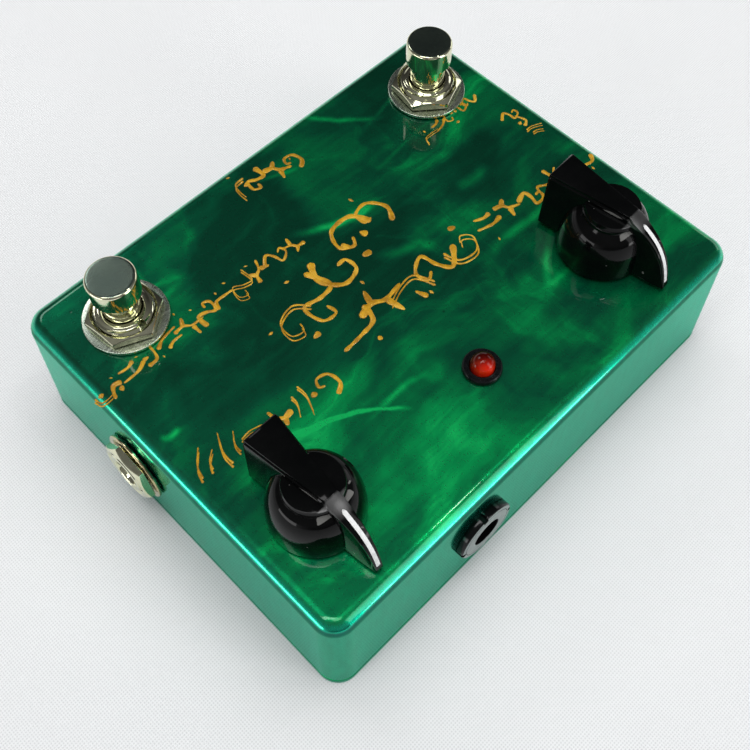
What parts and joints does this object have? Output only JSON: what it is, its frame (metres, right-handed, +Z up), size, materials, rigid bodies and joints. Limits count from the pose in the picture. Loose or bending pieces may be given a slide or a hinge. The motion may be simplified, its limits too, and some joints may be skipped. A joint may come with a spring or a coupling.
{
  "type": "guitar effects pedal",
  "caption": "Guitar modulation effects pedal in a drafted die-cast box with pointer knobs, latching footswitches, an indicator lamp, side audio jacks and a rear DC inlet.",
  "frame": {"origin": "centre of the underside of the bottom cover, which the pedal stands on", "axes": "+X to the player's right (input jack side), +Y to the back (DC inlet side), +Z up"},
  "size_m": [0.1248, 0.0954, 0.047],
  "materials": {
    "box_paint": "candy green lacquer over brushed metallic base, gloss clear coat",
    "gold_paint": "raised hand-brushed gold paint, satin",
    "nickel": "bright nickel plate, slightly warm, fine scuffs",
    "zinc_steel": "zinc plated, satin",
    "spring_steel": "bare spring steel",
    "pot_metal": "plated steel, satin",
    "knob_plastic": "polished black phenolic",
    "pointer_white": "white paint filled line",
    "insert_brass": "turned",
    "switch_plastic": "moulded, dark blue",
    "jack_plastic": "moulded black, semi gloss",
    "lens_red": "diffused translucent red epoxy",
    "bezel_plastic": "moulded black",
    "board_laminate": "green solder mask",
    "post_nylon": "natural nylon",
    "chip_epoxy": "moulded epoxy",
    "capacitor_sleeve": "shrink sleeve",
    "shroud_metal": "drawn can, satin"
  },
  "bodies": {
    "root": {"enclosure": "box_paint", "bottom_cover": "box_paint", "cover_screw_1": "zinc_steel", "cover_screw_2": "zinc_steel", "cover_screw_3": "zinc_steel", "cover_screw_4": "zinc_steel", "footswitch_right_bushing": "nickel", "footswitch_right_nut": "nickel", "footswitch_right_washer": "nickel", "footswitch_right_locknut": "nickel", "footswitch_right_body": "switch_plastic", "footswitch_right_spring": "spring_steel", "pot_right_case": "pot_metal", "pot_right_nut": "pot_metal", "pot_right_washer": "pot_metal", "footswitch_left_bushing": "nickel", "footswitch_left_nut": "nickel", "footswitch_left_washer": "nickel", "footswitch_left_locknut": "nickel", "footswitch_left_body": "switch_plastic", "footswitch_left_spring": "spring_steel", "pot_left_case": "pot_metal", "pot_left_nut": "pot_metal", "pot_left_washer": "pot_metal", "led_lens": "lens_red", "led_bezel": "bezel_plastic", "dc_jack_body": "jack_plastic", "dc_jack_nut": "jack_plastic", "dc_jack_pin": "nickel", "input_jack_sleeve": "nickel", "input_jack_nut": "nickel", "input_jack_washer": "nickel", "input_jack_body": "jack_plastic", "input_jack_tip_contact": "spring_steel", "output_jack_sleeve": "nickel", "output_jack_nut": "nickel", "output_jack_washer": "nickel", "output_jack_body": "jack_plastic", "output_jack_tip_contact": "spring_steel", "circuit_board": "board_laminate", "board_post_1": "post_nylon", "board_post_2": "post_nylon", "board_post_3": "post_nylon", "board_post_4": "post_nylon", "audio_chip": "chip_epoxy", "capacitor_a": "capacitor_sleeve", "capacitor_b": "capacitor_sleeve", "lamp_shroud": "shroud_metal"},
    "footswitch_right_press": {"footswitch_right_button": "nickel"},
    "footswitch_left_press": {"footswitch_left_button": "nickel"},
    "knob_right_turning": {"knob_right": "knob_plastic", "knob_right_insert": "insert_brass", "knob_right_set_screw": "zinc_steel", "pot_right_shaft": "pot_metal"},
    "knob_left_turning": {"knob_left": "knob_plastic", "knob_left_insert": "insert_brass", "knob_left_set_screw": "zinc_steel", "pot_left_shaft": "pot_metal"}
  },
  "joints": [
    {"name": "footswitch_right_slide", "type": "slide", "parent": "root", "child": "footswitch_right_press", "axis": [0, 0, -1], "range_m": [0, 0.0035], "stiffness_N_per_m": 2500, "springref_m": -0.002, "deforming": ["footswitch_right_spring"]},
    {"name": "footswitch_left_slide", "type": "slide", "parent": "root", "child": "footswitch_left_press", "axis": [0, 0, -1], "range_m": [0, 0.0035], "stiffness_N_per_m": 2500, "springref_m": -0.002, "deforming": ["footswitch_left_spring"]},
    {"name": "knob_right_turn", "type": "hinge", "parent": "root", "child": "knob_right_turning", "pos_m": [0.0435, 0.0258, 0.0326], "axis": [0, 0, 1], "range_deg": [-150, 150]},
    {"name": "knob_left_turn", "type": "hinge", "parent": "root", "child": "knob_left_turning", "pos_m": [-0.0383, 0.025, 0.0326], "axis": [0, 0, 1], "range_deg": [-150, 150]}
  ]
}
